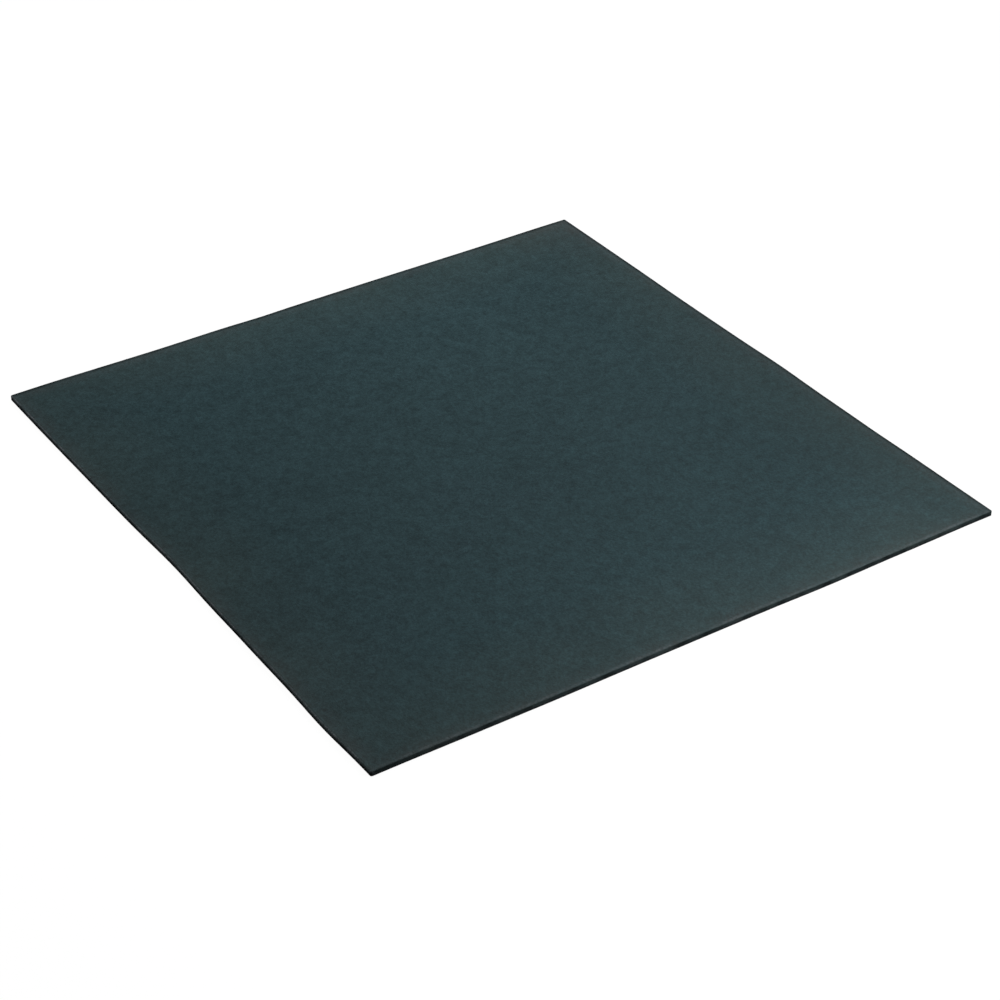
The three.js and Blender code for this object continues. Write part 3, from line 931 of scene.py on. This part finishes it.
# Each metal: its material's name, its colour, its tarnished colour, its roughness and its lines' width
METALS = {
    "resistance_wire": ("resistance_wire", (0.47, 0.44, 0.40), (0.20, 0.17, 0.14), 0.34, 0.03 * MM),
    "lead_copper": ("lead_copper", (0.66, 0.62, 0.55), (0.40, 0.34, 0.26), 0.28, 0.04 * MM),
    "crimp": ("crimp_brass", (0.58, 0.38, 0.10), (0.26, 0.17, 0.07), 0.30, 0.05 * MM),
    "blade": ("blade_brass", (0.66, 0.48, 0.17), (0.32, 0.22, 0.10), 0.26, 0.05 * MM),
}
LINE_LENGTH = 40  # in widths
TARNISH_PATCH = 3 * MM
TARNISH_SHARE = 0.6
TARNISH_ROUGHNESS = 0.25


def metal(name, colour, tarnish, roughness, grain):
    """Drawn or stamped metal: fine lines along X, and patches where it has tarnished."""
    look = Look(name, metallic=1.0)
    lines = look.streaks(LINE_LENGTH * grain, grain, grain)
    patches = look.remap(look.noise(TARNISH_PATCH, 4, rough=0.7), 0.45, 0.75)
    mixed = look.mix(look.remap(lines, *SOFT), shade(colour, 0.9), shade(colour, 1.06))
    mixed = look.mix(look.math("MULTIPLY", patches, TARNISH_SHARE), mixed, tarnish)
    rough = look.remap(patches, 0, 1, roughness, roughness + TARNISH_ROUGHNESS)
    look.set(Base_Color=mixed, Roughness=rough, Normal=look.bump(lines, 0.01 * MM))
    return look.material


# Each plastic or rubber: its material's name, its colour and roughness, its grain's size and depth, its dust
POLYMERS = {
    "wire_sheath": ("wire_sheath", (0.46, 0.065, 0.042), 0.42, 0.25 * MM, 0.01 * MM, 0.10),
    "lead_insulation": ("lead_insulation", (0.023, 0.024, 0.027), 0.45, 0.2 * MM, 0.01 * MM, 0.06),
    "sleeve": ("shrink_sleeve", (0.015, 0.018, 0.025), 0.40, 0.4 * MM, 0.02 * MM, 0.05),
    "cutout_case": ("cutout_case", (0.012, 0.013, 0.014), 0.52, 0.15 * MM, 0.015 * MM, 0.05),
    "inlet_housing": ("inlet_housing", (0.010, 0.011, 0.012), 0.55, 0.2 * MM, 0.03 * MM, 0.08),
    "inlet_seal": ("inlet_seal", (0.045, 0.050, 0.052), 0.80, 0.3 * MM, 0.03 * MM, 0.10),
}
DUST_COLOUR = (0.22, 0.20, 0.18)
DRIFT_SIZE = 25  # in grains
DRIFT_CONTRAST = 0.18
SPECK_SIZE = 3  # in grains
ROUGHNESS_CONTRAST = 0.12


def polymer(name, colour, roughness, grain, depth, dust):
    """Moulded, extruded or shrunk plastic and rubber: a fine grain, a drifting tone and a little dust."""
    look = Look(name)
    fine = look.noise(grain, 3, rough=0.6)
    drift = look.noise(DRIFT_SIZE * grain, 3)
    specks = look.remap(look.noise(SPECK_SIZE * grain, 4, rough=0.8), 0.58, 0.72, 0, dust)
    darker, lighter = shade(colour, 1 - DRIFT_CONTRAST), shade(colour, 1 + DRIFT_CONTRAST)
    mixed = look.mix(look.remap(drift, *SOFT), darker, lighter)
    mixed = look.mix(specks, mixed, DUST_COLOUR)
    smoother, rougher = roughness * (1 - ROUGHNESS_CONTRAST), roughness * (1 + ROUGHNESS_CONTRAST)
    rough = look.remap(fine, *SOFT, smoother, rougher)
    look.set(Base_Color=mixed, Roughness=rough, Normal=look.bump(fine, depth))
    return look.material


TAPE_COLOUR = (0.58, 0.32, 0.04)
TAPE_STREAK = (1.2 * MM, 50 * MM, 1.2 * MM)
TAPE_WRINKLE = 4 * MM


def tape_film():
    """Amber film tape, streaked along its length and faintly wrinkled."""
    look = Look("tape_film")
    streaks = look.streaks(*TAPE_STREAK)
    wrinkles = look.noise(TAPE_WRINKLE, 3)
    look.set(
        Base_Color=look.mix(look.remap(streaks, *CRISP), shade(TAPE_COLOUR, 0.85), shade(TAPE_COLOUR, 1.1)),
        Roughness=look.remap(wrinkles, *SOFT, 0.22, 0.42),
        Normal=look.bump(wrinkles, 0.05 * MM),
    )
    return look.material


def make_looks():
    """Every material but the covers', by the record's slot."""
    looks = {"foam": closed_foam(), "fleece": fleece(), "tape": tape_film()}
    for make, table in ((foil, FOILS), (metal, METALS), (polymer, POLYMERS)):
        for slot, settings in table.items():
            looks[slot] = make(*settings)
    return looks


# The carried-over pieces: their slot, how far their edges are rounded, and their nodes
CARRIED = (
    ("foam", 0.25 * MM, ("insulation_foam",)),
    ("reflector", 0.01 * MM, ("reflector_foil",)),
    ("fleece", 0.015 * MM, ("wire_carrier",)),
    ("spreader", 0.015 * MM, ("heat_spreader_foil",)),
    ("tape", 0.01 * MM, ("fixing_tape_left", "fixing_tape_middle", "fixing_tape_right")),
    ("cutout_case", 0.06 * MM, ("cutout_case",)),
    ("sleeve", 0.04 * MM, ("cutout_sleeve",)),
    ("blade", 0.03 * MM, ("cutout_tab_supply", "cutout_tab_link")),
    ("blade", 0.06 * MM, ("inlet_blade_supply", "inlet_blade_return")),
    ("inlet_housing", 0.06 * MM, ("inlet_housing",)),
    ("inlet_seal", 0.08 * MM, ("inlet_seal",)),
)


def paint(node, material):
    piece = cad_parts[node]
    piece.data.materials.clear()
    piece.data.materials.append(material)


def finish_inside():
    """Gives every piece under the covers its shape and its material."""
    looks = make_looks()
    make_heating_wire(looks)
    make_leads(looks)
    make_splices(looks)
    for slot, width, nodes in CARRIED:
        for node in nodes:
            paint(node, looks[slot])
            soften(node, width)


# ---- Studio ----

AZIMUTH = 56.73
ELEVATION = 34.04
ROLL_ANGLE = -0.32
LENS = 90.85
DISTANCE = 1.7895
AIM = Vector((0.0547, -0.0221, 0.0))
VIEW_END = 50  # metres


def direction(azimuth, elevation):
    """From the mat towards a place in the studio. Azimuth 0 is the -Y side, 90 the +X side."""
    a, e = math.radians(azimuth), math.radians(elevation)
    return Vector((math.sin(a) * math.cos(e), -math.cos(a) * math.cos(e), math.sin(e)))


def make_camera():
    camera = bpy.data.objects.new("camera", bpy.data.cameras.new("camera"))
    bpy.context.scene.collection.objects.link(camera)
    camera.data.lens = LENS
    camera.data.clip_end = VIEW_END
    back = direction(AZIMUTH, ELEVATION)
    camera.location = AIM + back * DISTANCE
    facing = (-back).to_track_quat("-Z", "Y").to_matrix().to_4x4()
    roll = Matrix.Rotation(math.radians(ROLL_ANGLE), 4, "Z")
    camera.rotation_euler = (facing @ roll).to_euler()
    bpy.context.scene.camera = camera


# Soft round lamps: azimuth and elevation in degrees, distance and radius in metres, watts
LAMPS = {
    "key": (195, 45, 2.0, 0.50, 73),
    "back": (210, 60, 0.6, 0.15, 3.6),
    "left": (270, 45, 0.6, 0.15, 4.4),
    "right": (105, 20, 0.6, 0.10, 6.6),
    "front": (350, 4, 1.2, 0.05, 4),
}
UNMIRRORED = ("back", "left")  # lamps that the rubber's sheen doesn't show


def make_lamps():
    for name, (azimuth, elevation, distance, radius, watts) in LAMPS.items():
        lamp = bpy.data.objects.new(name, bpy.data.lights.new(name, "POINT"))
        bpy.context.scene.collection.objects.link(lamp)
        lamp.data.shadow_soft_size = radius
        lamp.data.energy = watts
        lamp.location = direction(azimuth, elevation) * distance
        lamp.visible_camera = False
        lamp.visible_glossy = name not in UNMIRRORED


FLOOR_COLOUR = (0.05, 0.05, 0.05)
FLOOR_GLOW = 0.97  # keeps the floor a pale even white under the lamps' fall-off
FLOOR_HALF_SIZE = 20
FLOOR_Z = -0.02 * MM
WHITE = (1, 1, 1, 1)


def make_floor():
    mesh = bpy.data.meshes.new("floor")
    bm = bmesh.new()
    bmesh.ops.create_grid(bm, x_segments=1, y_segments=1, size=FLOOR_HALF_SIZE)
    bm.to_mesh(mesh)
    bm.free()
    floor = bpy.data.objects.new("floor", mesh)
    floor.location.z = FLOOR_Z
    bpy.context.scene.collection.objects.link(floor)
    look = Look("floor", roughness=0.9)
    look.set(Base_Color=(*FLOOR_COLOUR, 1), Specular_IOR_Level=0.0)
    look.set(Emission_Color=WHITE, Emission_Strength=FLOOR_GLOW)
    mesh.materials.append(look.material)
    floor.visible_glossy = False
    floor.visible_diffuse = False


WORLD_SEEN = 1.0
WORLD_LIGHT = 0.24
WORLD_MIRRORED = 0.07


def make_world():
    """Pale where the camera sees it, softer as a light, and dim where the mat mirrors it."""
    world = bpy.data.worlds.new("studio")
    bpy.context.scene.world = world
    world.use_nodes = True
    tree = world.node_tree
    path = tree.nodes.new("ShaderNodeLightPath")
    strength = tree.nodes.new("ShaderNodeMix")
    tree.links.new(path.outputs["Is Glossy Ray"], strength.inputs[0])
    strength.inputs[2].default_value = WORLD_LIGHT
    strength.inputs[3].default_value = WORLD_MIRRORED
    seen = tree.nodes.new("ShaderNodeMix")
    tree.links.new(path.outputs["Is Camera Ray"], seen.inputs[0])
    tree.links.new(strength.outputs[0], seen.inputs[2])
    seen.inputs[3].default_value = WORLD_SEEN
    tree.links.new(seen.outputs[0], tree.nodes["Background"].inputs["Strength"])
    tree.nodes["Background"].inputs["Color"].default_value = WHITE


def make_studio():
    make_camera()
    make_floor()
    make_world()
    make_lamps()
    view = bpy.context.scene.view_settings
    view.view_transform = "Standard"
    view.look = "None"


top_skin, base_skin = make_covers()
top_skin.data.materials.append(top_rubber())
base_skin.data.materials.append(base_rubber())
finish_inside()
make_studio()
